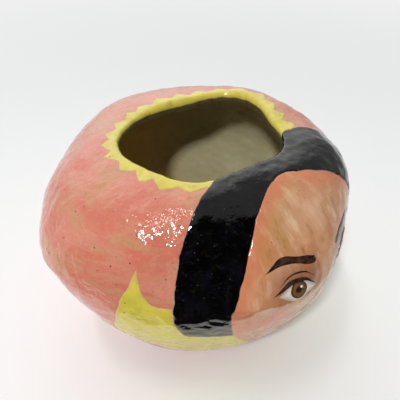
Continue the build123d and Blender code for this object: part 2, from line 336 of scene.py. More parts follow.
def base_section(angles):
    """The slab: its underside with a softened edge, the start of the wall's outside, and its hidden top."""
    edge = ring(angles, FOOT)
    under = [edge * share for share in (0.02, 0.3, 0.6, 0.85, 0.97)]
    side = [ring(angles, over) for over in np.linspace(FOOT + slab_round, FLOOR, slab_rows)]
    top = [side[-1] * (share, share, 1) for share in (0.8, 0.4, 0.02)]
    return under + side + top


# Outlines, laid flat

def through(points):
    """A smooth line through points, by Catmull-Rom segments; a line through only two is straight."""
    points = np.asarray(points, float)
    if len(points) == 2:
        count = max(int(np.hypot(*(points[1] - points[0])) / outline_spacing), 1)
        return points[0] + (points[1] - points[0]) * np.linspace(0, 1, count, endpoint=False)[:, None]
    closed = np.allclose(points[0], points[-1])
    before = points[-2] if closed else 2 * points[0] - points[1]
    after = points[1] if closed else 2 * points[-1] - points[-2]
    knots = np.vstack([before, points, after])
    line = []
    for a, b, c, d in zip(knots, knots[1:], knots[2:], knots[3:]):
        count = max(int(np.hypot(*(c - b)) / outline_spacing), 2)
        t = np.linspace(0, 1, count, endpoint=False)[:, None]
        square, cube = a - 2.5 * b + 2 * c - d / 2, 1.5 * (b - c) + (d - a) / 2
        line.append(b + t * (c - a) / 2 + t**2 * square + t**3 * cube)
    return np.vstack(line)


def outline(*curves, wobble=0.0, seed=0.0):
    """A closed outline from curves that meet end to end, shaken a little like a hand-drawn line."""
    points = np.vstack([through(curve) for curve in curves])
    along = np.roll(points, -1, axis=0) - np.roll(points, 1, axis=0)
    across = np.stack([along[:, 1], -along[:, 0]], axis=-1) / np.hypot(*along.T)[:, None]
    shake = []
    for x, y in points:
        slow = noise.noise(Vector((x / slow_shake, y / slow_shake, seed)))
        quick = noise.noise(Vector((x / quick_shake, y / quick_shake, seed)))
        shake.append(slow + quick_share * quick)
    return points + wobble * np.array(shake)[:, None] * across


def both_sides(half):
    """A closed outline from its right half, listed from the top down; the left half is its mirror image."""
    whole = half + [(-across, up) for across, up in reversed(half) if across > 0]
    return whole + whole[:1]


def scaled(shares, across, up):
    """Points from shares of a reach across and a reach up."""
    return [(a * across, u * up) for a, u in shares]


def flat(points):
    """Points of (degrees aside, distance over the surface) laid flat in millimetres."""
    return [(radians(aside) * flat_radius, over) for aside, over in points]


def on_face(points):
    """Points of the face in millimetres, across and up, laid flat in the same way."""
    return [(across / np.interp(up, DISTANCE, RADIUS) * flat_radius, up) for across, up in points]


def mirrored(points):
    """The same outline on the other side of the face, still listed the same way round."""
    return (points * (-1, 1))[::-1]


# Coats

def inside(points, loop):
    """Which points lie inside a closed loop."""
    x, y = points[:, :1], points[:, 1:]
    x0, y0 = loop.T
    x1, y1 = np.roll(loop, -1, axis=0).T
    spans = (y0 > y) != (y1 > y)
    with np.errstate(divide="ignore", invalid="ignore"):
        crossing = x < (x1 - x0) * (y - y0) / (y1 - y0) + x0
    return np.count_nonzero(spans & crossing, axis=1) % 2 == 1


def within(points, loop, holes):
    """Which points lie inside a loop and outside its holes."""
    kept = inside(points, loop)
    for hole in holes:
        kept &= ~inside(points, hole)
    return kept


def distance_to(points, starts, ends):
    """Each point's distance to the nearest of many short segments, in batches."""
    batch = 2000
    nearest = np.full(len(points), np.inf)
    step = ends - starts
    size = np.maximum((step**2).sum(axis=1), 1e-9)
    for first in range(0, len(points), batch):
        some = points[first:first + batch, None]
        share = np.clip(((some - starts) * step).sum(axis=2) / size, 0, 1)
        gap = some - starts - share[..., None] * step
        nearest[first:first + batch] = np.sqrt((gap**2).sum(axis=2)).min(axis=1)
    return nearest


def plan_points(loop, holes, spacing, edge):
    """The outlines' points and edges, then points in rows beside them and in a triangular grid between."""
    area = [loop] + list(holes)
    spots = [p for line in area for p in line]
    first = np.cumsum([0] + [len(line) for line in area])
    edges = [(a + k, a + (k + 1) % (b - a)) for a, b in zip(first, first[1:]) for k in range(b - a)]
    starts = np.array([spots[a] for a, _ in edges])
    ends = np.array([spots[b] for _, b in edges])
    along = (ends - starts) / np.maximum(np.hypot(*(ends - starts).T), 1e-9)[:, None]
    across = np.stack([-along[:, 1], along[:, 0]], axis=-1)
    middle = (starts + ends) / 2
    extras = [(middle + side * reach * across, 0.9 * reach)
              for reach in (0.35 * edge, edge) for side in (-1, 1)]
    low, high = loop.min(axis=0), loop.max(axis=0)
    row_share = 0.87
    grid = [(x + spacing / 2 * (row % 2), low[1] + row * spacing * row_share)
            for row in range(int((high[1] - low[1]) / spacing / row_share) + 1)
            for x in np.arange(low[0], high[0], spacing)]
    extras.append((np.array(grid), edge + 0.6 * spacing))
    for extra, room in extras:
        extra = extra[within(extra, loop, holes)]
        spots += list(extra[distance_to(extra, starts, ends) > room])
    return spots, edges


def plan_mesh(loop, holes, spacing, edge):
    """Points, triangles and border edges of the flat area inside a loop and outside its holes."""
    spots, edges = plan_points(loop, holes, spacing, edge)
    plan, _, triangles, *_ = delaunay_2d_cdt([Vector(p) for p in spots], edges, [], 0, 1e-4)
    plan, triangles = np.array(plan), np.array(triangles)
    triangles = triangles[within(plan[triangles].mean(axis=1), loop, holes)]
    used = np.unique(triangles)
    renumber = np.full(len(plan), -1)
    renumber[used] = np.arange(len(used))
    triangles = renumber[triangles]
    sides = {pair: True for a, b, c in triangles for pair in ((a, b), (b, c), (c, a))}
    return plan[used], triangles, np.array([pair for pair in sides if pair[::-1] not in sides])


def coat(name, loops, material, node=None, holes=(), under=0.0, thickness=slip_thickness,
         spacing=coat_spacing, edge=edge_width):
    """A thin closed coat on the pot inside each loop and outside the holes, rounded off at its edge."""
    points, faces, paint, rims = [], [], [], []
    for loop in loops:
        plan, triangles, borders = plan_mesh(loop, holes, spacing, edge)
        rim = distance_to(plan, plan[borders[:, 0]], plan[borders[:, 1]])
        share = np.clip(rim / edge, 0, 1)
        lift = under + edge_thickness + (thickness - edge_thickness) * np.sqrt(1 - (1 - share) ** 2)
        angle, over = plan[:, 0] / flat_radius - pi / 2, plan[:, 1]
        count, base = len(plan), sum(len(part) for part in points)
        points += [on_pot(angle, over, lift), on_pot(angle, over, np.full(count, under - sunk))]
        faces += (triangles + base).tolist() + (triangles[:, ::-1] + base + count).tolist()
        faces += [(b + base, a + base, a + base + count, b + base + count) for a, b in borders]
        aside = plan[:, 0] / flat_radius * np.interp(over, DISTANCE, RADIUS)
        paint += [np.stack([aside, over], axis=-1)] * 2
        rims += [rim, rim]
    piece = make_piece(name, np.vstack(points), faces, material, node)
    store(piece, "Paint", "FLOAT_VECTOR", np.pad(np.vstack(paint), ((0, 0), (0, 1))))
    store(piece, "Edge", "FLOAT", np.concatenate(rims))


# Materials

glaze_ior = 1.56
clay_colour = (0.60, 0.42, 0.30)
speck_colour = (0.10, 0.035, 0.025)


class Nodes:
    """A node tree that is wired up node by node."""

    def __init__(self, tree):
        self.tree = tree

    def node(self, kind, **settings):
        made = self.tree.nodes.new(kind)
        for name, value in settings.items():
            setattr(made, name, value)
        return made

    def feed(self, socket, value):
        """Link a socket to another one, or set its value."""
        if isinstance(value, bpy.types.NodeSocket):
            self.tree.links.new(value, socket)
        else:
            socket.default_value = value

    def math(self, operation, a, b=0.0):
        made = self.node("ShaderNodeMath", operation=operation)
        self.feed(made.inputs[0], a)
        self.feed(made.inputs[1], b)
        return made.outputs[0]

    def vector(self, operation, a, b=None, output="Vector"):
        made = self.node("ShaderNodeVectorMath", operation=operation)
        self.feed(made.inputs[0], a)
        if b is not None:
            self.feed(made.inputs[1], b)
        return made.outputs[output]

    def ramp(self, value, low, high, start=0.0, end=1.0):
        """A smooth change from start, where the value is low, to end, where it is high."""
        made = self.node("ShaderNodeMapRange", interpolation_type="SMOOTHSTEP")
        self.feed(made.inputs["Value"], value)
        for name, number in zip(("From Min", "From Max", "To Min", "To Max"), (low, high, start, end)):
            made.inputs[name].default_value = number
        return made.outputs["Result"]


class Paint(Nodes):
    """One procedural material; breadths, spacings and depths are in millimetres."""

    def __init__(self, name):
        self.material = bpy.data.materials.new(name)
        self.material.use_nodes = True
        super().__init__(self.material.node_tree)
        self.shader = self.tree.nodes["Principled BSDF"]
        self.place = self.node("ShaderNodeTexCoord").outputs["Object"]

    def stored(self, name, output="Fac"):
        return self.node("ShaderNodeAttribute", attribute_name=name).outputs[output]

    def noise(self, breadth, detail=3.0, roughness=0.55, squeeze=(1, 1, 1), place=None, shift=0.0):
        """Noise through the object, or over a place in millimetres such as the face's plan."""
        spread = self.node("ShaderNodeMapping")
        self.feed(spread.inputs["Vector"], place or self.place)
        spread.inputs["Scale"].default_value = squeeze
        spread.inputs["Location"].default_value = (shift, shift, shift)
        made = self.node("ShaderNodeTexNoise")
        self.feed(made.inputs["Vector"], spread.outputs[0])
        made.inputs["Scale"].default_value = 1 / breadth if place else 1 / (breadth * MM)
        made.inputs["Detail"].default_value = detail
        made.inputs["Roughness"].default_value = roughness
        return made.outputs["Fac"]

    def blend(self, share, a, b):
        made = self.node("ShaderNodeMix", data_type="RGBA")
        self.feed(made.inputs["Factor"], share)
        for socket, colour in zip((made.inputs[6], made.inputs[7]), (a, b)):
            self.feed(socket, colour if isinstance(colour, bpy.types.NodeSocket) else (*colour, 1.0))
        return made.outputs[2]

    def layers(self, colour, *rows):
        """A colour under tones, each from nothing at a mask's low value to a weight at its high one."""
        for tone, mask, low, high, weight in rows:
            colour = self.blend(self.ramp(mask, low, high, 0.0, weight), colour, tone)
        return colour

    def dab(self, colour, tone, mask, weight):
        """A colour with one tone over it where a mask says, at a weight."""
        return self.blend(self.math("MULTIPLY", mask, weight), colour, tone)

    def specks(self, colour, tone, spacing, size, weight):
        """A colour with small uneven spots of a tone, about a spacing apart and some of them much fainter."""
        made = self.node("ShaderNodeTexVoronoi")
        self.feed(made.inputs["Vector"], self.place)
        made.inputs["Scale"].default_value = 1 / (spacing * MM)
        ragged = self.math("MULTIPLY", self.noise(0.9, 2), size / spacing)
        away = self.math("ADD", made.outputs["Distance"], ragged)
        spots = self.ramp(away, 1.65 * size / spacing, 1.05 * size / spacing, 0.0, weight)
        strength = self.node("ShaderNodeSeparateColor")
        self.feed(strength.inputs[0], made.outputs["Color"])
        return self.dab(colour, tone, spots, self.ramp(strength.outputs[0], 0.1, 0.9))

    def worn(self, colour, tone, inner, outer, patches, weight):
        """A colour that wears through to a tone in patches, between two distances from the coat's edge."""
        bare = self.math("MULTIPLY", self.ramp(self.stored("Edge"), inner, outer), patches)
        return self.dab(colour, tone, bare, weight)

    def folded(self, place):
        """The face's plan folded over its middle line, so that both halves are painted alike."""
        parts = self.node("ShaderNodeSeparateXYZ")
        self.feed(parts.inputs[0], place)
        joined = self.node("ShaderNodeCombineXYZ")
        self.feed(joined.inputs["X"], self.math("ABSOLUTE", parts.outputs["X"]))
        self.feed(joined.inputs["Y"], parts.outputs["Y"])
        return joined.outputs[0]

    def spot(self, place, centre, radii, soft):
        """1 in the middle of an oval of the face's plan, fading to 0 over a soft share of it at its edge."""
        share = self.vector("DIVIDE", self.vector("SUBTRACT", place, (*centre, 0)), (*radii, 1))
        return self.ramp(self.vector("LENGTH", share, output="Value"), 1.0, 1.0 - soft)

    def finish(self, colour, rough, relief, depth, specular=0.5):
        """Wire up the colour, the roughness and a fine relief of a depth in millimetres."""
        self.feed(self.shader.inputs["Base Color"], colour)
        self.feed(self.shader.inputs["Roughness"], rough)
        bump = self.node("ShaderNodeBump")
        self.feed(bump.inputs["Height"], relief)
        bump.inputs["Distance"].default_value = depth * MM
        self.feed(self.shader.inputs["Normal"], bump.outputs[0])
        self.shader.inputs["IOR"].default_value = glaze_ior
        self.shader.inputs["Specular IOR Level"].default_value = specular
        return self.material


def pink_glaze():
    """Salmon glaze with clouds, tan patches, pale streaks, a fine grain and dark specks."""
    paint = Paint("pink_glaze")
    salmon, pale_salmon = (0.65, 0.185, 0.122), (0.68, 0.255, 0.175)
    tan, rose = (0.58, 0.30, 0.162), (0.71, 0.30, 0.22)
    brown, dark_brown = (0.50, 0.17, 0.10), (0.20, 0.06, 0.035)
    clouds = paint.noise(24, 4, squeeze=(1, 1, 1.7))
    patches = paint.noise(26, 5, 0.6, squeeze=(1, 1, 3.2), shift=3.0)
    streaks = paint.noise(7, 5, 0.65, squeeze=(1, 1, 3.5))
    grain = paint.noise(1.6, 3, 0.7)
    colour = paint.layers(
        salmon,
        (pale_salmon, clouds, 0.38, 0.64, 1.0),
        (tan, patches, 0.47, 0.66, 0.8),
        (rose, streaks, 0.5, 0.68, 0.5),
        (brown, grain, 0.4, 0.72, 0.3),
    )
    colour = paint.specks(colour, speck_colour, 5.0, 0.5, 1.0)
    colour = paint.specks(colour, dark_brown, 12.0, 0.9, 0.8)
    rough = paint.ramp(paint.noise(5, 3), 0.3, 0.75, 0.04, 0.10)
    return paint.finish(colour, rough, paint.noise(2.6, 2, 0.5), 0.5)


def yellow_slip(name, smoothest, roughest, specular):
    """Lemon slip with mustard dirt and specks; the pink shows through where it thins at its edge."""
    paint = Paint(name)
    lemon, deep_lemon = (0.72, 0.615, 0.085), (0.63, 0.53, 0.065)
    mustard, thin_pink, brown = (0.36, 0.27, 0.055), (0.60, 0.33, 0.27), (0.12, 0.06, 0.02)
    clouds = paint.noise(9, 5, 0.6)
    dirt = paint.noise(6, 5, 0.65, shift=9.0)
    colour = paint.layers(
        lemon,
        (deep_lemon, clouds, 0.36, 0.66, 1.0),
        (mustard, dirt, 0.55, 0.74, 0.55),
    )
    colour = paint.worn(colour, thin_pink, 1.6, 0.1, paint.ramp(paint.noise(3, 3), 0.4, 0.6), 0.65)
    colour = paint.specks(colour, brown, 6.0, 0.6, 1.0)
    rough = paint.ramp(paint.noise(4, 3), 0.3, 0.75, smoothest, roughest)
    return paint.finish(colour, rough, paint.noise(2.4, 3), 0.14, specular)


def liner_glaze():
    """Satin olive glaze, with painted warm bounce light on its shaded side and painted shade below the lip.
    """
    paint = Paint("liner_glaze")
    olive, pale_olive, painted_bounce_honey = (0.45, 0.40, 0.235), (0.51, 0.475, 0.31), (0.72, 0.49, 0.18)
    dark_brown, brown = (0.13, 0.085, 0.028), (0.20, 0.13, 0.06)
    # Painted shade: the inside is darkened in a band just below the lip.
    brim_shade_low, brim_shade_high = (vase_height - 14) * MM, (vase_height - 3) * MM
    place = paint.node("ShaderNodeSeparateXYZ")
    paint.feed(place.inputs[0], paint.place)
    clouds = paint.noise(30, 4)
    # Painted bounce light: lighter, honey-brown glaze towards the side that lies in the lamp's shadow.
    aside = paint.math("SUBTRACT", place.outputs["Y"], place.outputs["X"])
    painted_bounce_side = paint.math("ADD", aside, paint.math("MULTIPLY", paint.noise(25, 3), 20 * MM))
    level = paint.math("ADD", place.outputs["Z"], paint.math("MULTIPLY", paint.noise(9, 3), 6 * MM))
    colour = paint.layers(
        olive,
        (pale_olive, clouds, 0.35, 0.7, 1.0),
        # painted warm bounce light on the shaded side
        (painted_bounce_honey, painted_bounce_side, 10 * MM, 80 * MM, 1.0),
        # painted shade below the lip
        (dark_brown, level, brim_shade_low, brim_shade_high, 0.95),
    )
    colour = paint.specks(colour, brown, 6.0, 0.4, 0.6)
    rough = paint.ramp(paint.noise(8, 3), 0.3, 0.75, 0.25, 0.42)
    return paint.finish(colour, rough, paint.noise(4, 3), 0.10)


def black_slip():
    """Black slip in strands, with rusty and blue patches and grey dabs, worn to the clay along its edge."""
    paint = Paint("black_slip")
    black, soft_black, rust = (0.0008, 0.0007, 0.0010), (0.0035, 0.0030, 0.0034), (0.013, 0.007, 0.005)
    blue, grey, pale_grey = (0.004, 0.004, 0.011), (0.016, 0.015, 0.015), (0.06, 0.055, 0.05)
    colour = paint.layers(
        black,
        (soft_black, paint.noise(5, 4, squeeze=(1, 1, 0.25)), 0.4, 0.7, 1.0),
        (rust, paint.noise(7, 4, 0.65, shift=5.0), 0.6, 0.75, 0.6),
        (blue, paint.noise(12, 4, 0.6, shift=15.0), 0.52, 0.7, 0.8),
        (grey, paint.noise(2.2, 4, 0.7, shift=25.0), 0.56, 0.74, 0.8),
    )
    colour = paint.specks(colour, pale_grey, 3.2, 0.35, 0.9)
    colour = paint.worn(colour, clay_colour, 0.5, 0.15, paint.ramp(paint.noise(6, 3), 0.42, 0.55), 0.7)
    rough = paint.ramp(paint.noise(4, 3), 0.3, 0.75, 0.04, 0.12)
    return paint.finish(colour, rough, paint.noise(4.5, 2, 0.5), 0.38)


def skin_slip(name, warm_edge):
    """Peach slip in brush strokes: shaded round eyes and nose, rosy on the cheeks and warm at its edge."""
    paint = Paint(name)
    peach, pale_peach, ochre = (0.55, 0.245, 0.115), (0.65, 0.35, 0.195), (0.50, 0.27, 0.095)
    bright, brown, warm = (0.76, 0.50, 0.32), (0.36, 0.145, 0.06), (0.66, 0.215, 0.105)
    light, shade, deep_shade = (0.74, 0.45, 0.29), (0.38, 0.150, 0.072), (0.29, 0.110, 0.058)
    rosy, dark = (0.66, 0.150, 0.085), (0.13, 0.04, 0.025)
    place = paint.stored("Paint", "Vector")
    strokes = paint.noise(6, 5, 0.62, squeeze=(1, 0.3, 1), place=place)
    dabs = paint.noise(11, 4, 0.6, place=place, shift=40.0)
    patches = paint.noise(16, 4, 0.6, squeeze=(1, 0.5, 1), place=place, shift=90.0)
    colour = paint.layers(
        peach,
        (pale_peach, dabs, 0.38, 0.62, 1.0),
        (ochre, patches, 0.48, 0.64, 0.85),
        (bright, strokes, 0.52, 0.66, 0.75),
        (brown, strokes, 0.45, 0.33, 0.65),
    )
    half = paint.folded(place)
    brushed = paint.ramp(strokes, 0.25, 0.55, 0.5, 1.0)
    eye, wing = eye_spacing / 2, nose_width / 2
    under_lip = lip_line - lower_lip
    # Each oval's centre, radii, soft share, weight and tone
    ovals = (
        ((0, 36), (32, 20), 1.0, 0.40, light),
        ((eye, eye_line + 4), (23, 15), 0.7, 0.75, deep_shade),
        ((eye + 12, -20), (22, 18), 1.0, 0.65, rosy),
        ((0.8 * wing, eye_line - 12), (4.5, 24), 0.8, 0.75, shade),
        ((0, nose_base + 16), (3.2, 20), 1.0, 0.60, light),
        ((wing + 1.5, nose_base + 3.5), (3.4, 5.5), 0.8, 0.85, shade),
        ((0, nose_base - 3), (11, 3.4), 0.8, 0.65, shade),
        ((0, nose_base + 3), (4.5, 3.8), 0.8, 0.60, light),
        ((0.72 * wing, nose_base + 2.5), (2.6, 3), 0.9, 0.45, light),
        ((0.46 * wing, nose_base - 1.2), (2.6, 1.5), 0.7, 0.85, dark),
        ((0, (nose_base + lip_line + upper_lip) / 2), (1.8, 5), 1.0, 0.35, shade),
        ((0, under_lip - 4), (15, 5), 1.0, 0.55, shade),
        ((0, under_lip - 13), (11, 6), 1.0, 0.45, light),
    )
    for centre, radii, soft, weight, tone in ovals:
        share = paint.math("MULTIPLY", paint.spot(half, centre, radii, soft), weight)
        colour = paint.dab(colour, tone, share, brushed)
    border = paint.math("ADD", paint.stored("Edge"), paint.math("MULTIPLY", dabs, 10.0))
    colour = paint.layers(colour, (warm, border, 17.0, 5.0, warm_edge))
    colour = paint.specks(colour, speck_colour, 6.0, 0.45, 0.8)
    rough = paint.ramp(paint.noise(5, 3), 0.3, 0.75, 0.06, 0.16)
    return paint.finish(colour, rough, strokes, 0.4)


def brown_slip():
    """Dark brown slip drawn in fine hairs."""
    paint = Paint("brown_slip")
    dark_brown, brown = (0.022, 0.012, 0.008), (0.075, 0.035, 0.02)
    hairs = paint.noise(2.2, 3, squeeze=(0.5, 1, 1), place=paint.stored("Paint", "Vector"))
    colour = paint.layers(dark_brown, (brown, hairs, 0.35, 0.7, 1.0))
    return paint.finish(colour, paint.ramp(hairs, 0.3, 0.7, 0.1, 0.2), hairs, 0.10)


def iris_slip():
    """A mottled brown iris, darker at its edge."""
    paint = Paint("iris_slip")
    brown, light_brown, dark_brown = (0.13, 0.055, 0.022), (0.26, 0.12, 0.045), (0.03, 0.014, 0.009)
    mottle = paint.noise(0.9, 2, place=paint.stored("Paint", "Vector"))
    colour = paint.layers(
        brown,
        (light_brown, mottle, 0.35, 0.7, 1.0),
        (dark_brown, paint.stored("Edge"), 1.3, 0.3, 0.85),
    )
    return paint.finish(colour, paint.ramp(mottle, 0.3, 0.7, 0.06, 0.12), mottle, 0.03)


def white_slip():
    """The white of an eye, shaded along its edge."""
    paint = Paint("white_slip")
    white, grey, shade = (0.78, 0.72, 0.64), (0.68, 0.62, 0.54), (0.36, 0.24, 0.19)
    clouds = paint.noise(4, 3)
    colour = paint.layers(
        white,
        (grey, clouds, 0.35, 0.7, 1.0),
        (shade, paint.stored("Edge"), 2.2, 0.0, 0.6),
    )
    return paint.finish(colour, paint.ramp(clouds, 0.3, 0.7, 0.06, 0.14), paint.noise(2, 3), 0.04)


def lip_slip():
    """Red slip in upright folds, lighter on the fuller lower lip and dark where the lips meet."""
    paint = Paint("lip_slip")
    dark_red, red = (0.40, 0.075, 0.055), (0.50, 0.125, 0.09)
    pink, parting = (0.66, 0.25, 0.19), (0.12, 0.02, 0.018)
    place = paint.stored("Paint", "Vector")
    folds = paint.noise(1.8, 3, squeeze=(1, 0.2, 1), place=place)
    fuller = paint.spot(place, (0, lip_line - 0.45 * lower_lip), (0.36 * lip_width, 0.42 * lower_lip), 1.0)
    meeting = paint.spot(place, (0, lip_line + 0.2), (0.5 * lip_width, 0.9), 0.8)
    colour = paint.layers(dark_red, (red, folds, 0.35, 0.7, 1.0))
    colour = paint.dab(colour, pink, fuller, 0.55)
    colour = paint.dab(colour, parting, meeting, 0.85)
    return paint.finish(colour, paint.ramp(folds, 0.3, 0.7, 0.08, 0.16), folds, 0.10)


def plain_glint():
    """A dot of near-white slip."""
    paint = Paint("glint")
    clouds = paint.noise(1, 2)
    colour = paint.blend(clouds, (0.86, 0.85, 0.83), (0.78, 0.77, 0.75))
    return paint.finish(colour, paint.ramp(clouds, 0.3, 0.7, 0.05, 0.1), clouds, 0.01)


# Outlines of the coats

def hair_loop():
    """A bobbed head of hair that starts on the lip, a little farther round on its right side."""
    inner_lip = LIP_END - hair_lip_gap
    half = [
        (0, inner_lip),
        (0.6 * hair_rim_half_angle, inner_lip),
        (0.93 * hair_rim_half_angle, CROWN + rim_coil_radius),
        (1.06 * hair_rim_half_angle, CROWN - rim_coil_radius),
    ]
    upper = ((0.91, 0.84), (0.96, 0.69), (0.99, 0.45), (1, 0.18))
    lower = ((1.01, 0.17), (1, 0.52), (0.95, 0.85), (0.84, 0.96), (0.6, 1), (0.3, 1), (0, 1))
    half += scaled(upper, hair_half_angle, CROWN) + scaled(lower, hair_half_angle, hair_end)
    whole = []
    for aside, over in both_sides(half):
        extra = hair_right_extra * smooth_step(0.5, 1.0, over / CROWN) if aside > 0 else 0
        whole.append((aside + extra, over))
    return outline(flat(whole), wobble=0.7, seed=1.0)


def face_loop():
    """A plain oval that narrows to the hairline and the chin."""
    upper = ((0, 1), (0.22, 0.93), (0.5, 0.74), (0.75, 0.48), (0.93, 0.18))
    lower = ((1, 0.05), (0.95, 0.28), (0.76, 0.6), (0.42, 0.9), (0, 1))
    half = scaled(upper, face_half_width, hairline) + scaled(lower, face_half_width, chin)
    return outline(on_face(both_sides(half)), wobble=0.6, seed=2.0)


def collar_loop():
    """The lip and a row of uneven teeth, from the hair's right edge round the back to its left edge."""
    pitch = 360 / tooth_count
    teeth = []
    for k in range(2, tooth_count - 1):
        chance = [noise.noise(Vector((0.7 * k, seed, 0.5))) for seed in (3.1, 5.2, 7.3)]
        valley = CROWN - tooth_root + valley_jitter * chance[0]
        tip = CROWN - tooth_root - tooth_height * (1 + tip_jitter * chance[1])
        teeth.append(((k + valley_drift * chance[2]) * pitch, valley))
        teeth.append(((k + 0.5 + tip_drift * chance[0]) * pitch, tip))
    edge = YELLOW_END + collar_overlap
    corners = [(teeth[0][0], edge)] + teeth + [(teeth[-1][0], edge)]
    sides = [flat(pair) for pair in zip(corners, corners[1:])]
    return outline(*sides, flat([corners[-1], corners[0]]), wobble=0.35, seed=3.0)


def wing_loop():
    """Pointed shapes that rise beside the hair and run on below it to the middle, under the chin."""
    under_face = (0, 0.5 * wing_end)
    under_hair = (0.88 * hair_half_angle, -0.05 * wing_tip)
    tip = (0.84 * wing_half_angle, wing_tip)
    hidden = [under_face, under_hair]
    rise = ((0.76, -0.02), (0.8, 0.16), (0.82, 0.52))
    inner_edge = [under_hair] + scaled(rise, wing_half_angle, wing_tip) + [tip]
    outer_edge = [tip, (0.873 * wing_half_angle, 0.46 * wing_tip)]
    fall = ((0.917, 0.03), (0.96, 0.23), (1, 0.48), (0.83, 0.79), (0.6, 0.94), (0.3, 0.99), (0, 1))
    outer_edge += scaled(fall, wing_half_angle, wing_end)
    right = [hidden, inner_edge, outer_edge]
    left = [[(-aside, over) for aside, over in reversed(line)] for line in reversed(right)]
    return outline(*map(flat, right + left), wobble=0.5, seed=4.0)


def lid_lines():
    """The upper and lower edges of the right eye, from its inner corner to its outer one."""
    middle = eye_spacing / 2
    inner = (middle - eye_width / 2, eye_line - 0.06 * eye_height)
    outer = (middle + eye_width / 2, eye_line + 0.06 * eye_height)
    upper = [inner, (middle - 0.2 * eye_width, eye_line + 0.5 * eye_height)]
    upper += [(middle + 0.16 * eye_width, eye_line + 0.54 * eye_height), outer]
    lower = [inner, (middle + 0.08 * eye_width, eye_line - 0.46 * eye_height), outer]
    return upper, lower


def eye_loop():
    """The almond between the lids."""
    upper, lower = lid_lines()
    return outline(on_face(upper), on_face(lower[::-1]))


def lash_loop():
    """A line along the upper lid, thickest past its middle and drawn out a little at the outer corner."""
    upper, _ = lid_lines()
    inner, rise, crest, outer = upper
    tail = (outer[0] + 1.6 * lash_width, outer[1] + 0.7 * lash_width)
    over = [tail, (crest[0] + lash_width, crest[1] + lash_width)]
    over += [(rise[0], rise[1] + 0.8 * lash_width), inner]
    under = [inner, (rise[0], rise[1] - 0.35 * lash_width), (crest[0], crest[1] - 0.45 * lash_width), tail]
    return outline(on_face(over), on_face(under))


def crease_loop():
    """A thin fold above the lid."""
    upper, _ = lid_lines()
    inner, rise, crest, outer = [(x, y + 3.0 * lash_width) for x, y in upper]
    low = [(x, y - 0.55 * lash_width) for x, y in (crest, rise)]
    return outline(on_face([inner, rise, crest, outer]), on_face([outer] + low + [inner]))


def disc_loop(centre, radius, border=None):
    """A round spot, drawn in step by step where it would leave a border."""
    turns = np.linspace(0, 2 * pi, disc_points + 1)
    spots = np.array(on_face([(centre[0] + radius * cos(a), centre[1] + radius * sin(a)) for a in turns]))
    middle = np.array(on_face([centre]))
    if border is not None:
        for share in np.linspace(0.98, 0.5, 25):
            spots = np.where(inside(spots, border)[:, None], spots, middle + (spots - middle) * share)
    return outline(spots)


def brow_loop():
    """The right brow: a tapered arch."""
    start = eye_spacing / 2 - 0.42 * brow_width
    end = start + brow_width
    crest = start + 0.58 * brow_width
    upper_start = (start, brow_line + brow_thickness / 2)
    top = [upper_start, (crest, brow_line + 1.7 * brow_thickness), (end, brow_line)]
    under = [top[-1], (crest, brow_line + 0.8 * brow_thickness), (start, brow_line - brow_thickness / 2)]
    inner_end = [under[-1], (start - 0.4 * brow_thickness, brow_line - 0.1 * brow_thickness), upper_start]
    return outline(on_face(top), on_face(under), on_face(inner_end), wobble=0.5, seed=5.0)


def nose_loop():
    """A narrow bridge that widens to the wings of the nose."""
    half = [
        (0, eye_line + 0.3 * eye_height),
        (0.16 * nose_width, eye_line - 0.5 * eye_height),
        (0.2 * nose_width, nose_base + 0.8 * nose_width),
        (0.42 * nose_width, nose_base + 0.38 * nose_width),
        (0.5 * nose_width, nose_base + 0.1 * nose_width),
        (0.32 * nose_width, nose_base - 0.06 * nose_width),
        (0, nose_base - 0.16 * nose_width),
    ]
    return outline(on_face(both_sides(half)))


def lip_loop():
    """Both lips: a bow above and a round curve below."""
    half = lip_width / 2
    bow = [(-half, 0), (-0.55 * half, 0.68 * upper_lip), (-0.2 * half, upper_lip), (0, 0.78 * upper_lip)]
    bow += [(-across, up) for across, up in reversed(bow[:-1])]
    under = [(half, 0), (0.5 * half, -0.8 * lower_lip), (0, -lower_lip)]
    under += [(-across, up) for across, up in reversed(under[:-1])]
    bow, under = ([(across, lip_line + up) for across, up in curve] for curve in (bow, under))
    return outline(on_face(bow), on_face(under))


# Pieces

def clay_pieces(pink, worn_yellow, liner):
    """The slab, the two wall rings, the rim's coil and the glaze inside."""
    ring_piece("base_slab", base_section, slab_columns, pink)
    ring_piece("lower_wall", wall_section(FLOOR, 0.0), wall_columns, pink)
    ring_piece("shoulder_wall", wall_section(0.0, CROWN), wall_columns, pink)
    coil = ring_piece("rim_coil", coil_section, wall_columns, worn_yellow)
    store(coil, "Edge", "FLOAT", np.full(len(coil.data.vertices), 2 * rim_coil_radius))
    ring_piece("liner_glaze", liner_section, liner_columns, liner)


def slip_pieces(yellow, face):
    """The hair, the collar and the wings, each cut out where another coat lies."""
    hair = hair_loop()
    coat("hair_coat", [hair], black_slip(), "hair_slip", holes=[face], thickness=hair_thickness)
    coat("collar_coat", [collar_loop()], yellow, "collar_slip", holes=[hair],
         spacing=collar_spacing)
    coat("wing_coat", [wing_loop()], yellow, "wing_slip", holes=[hair, face])


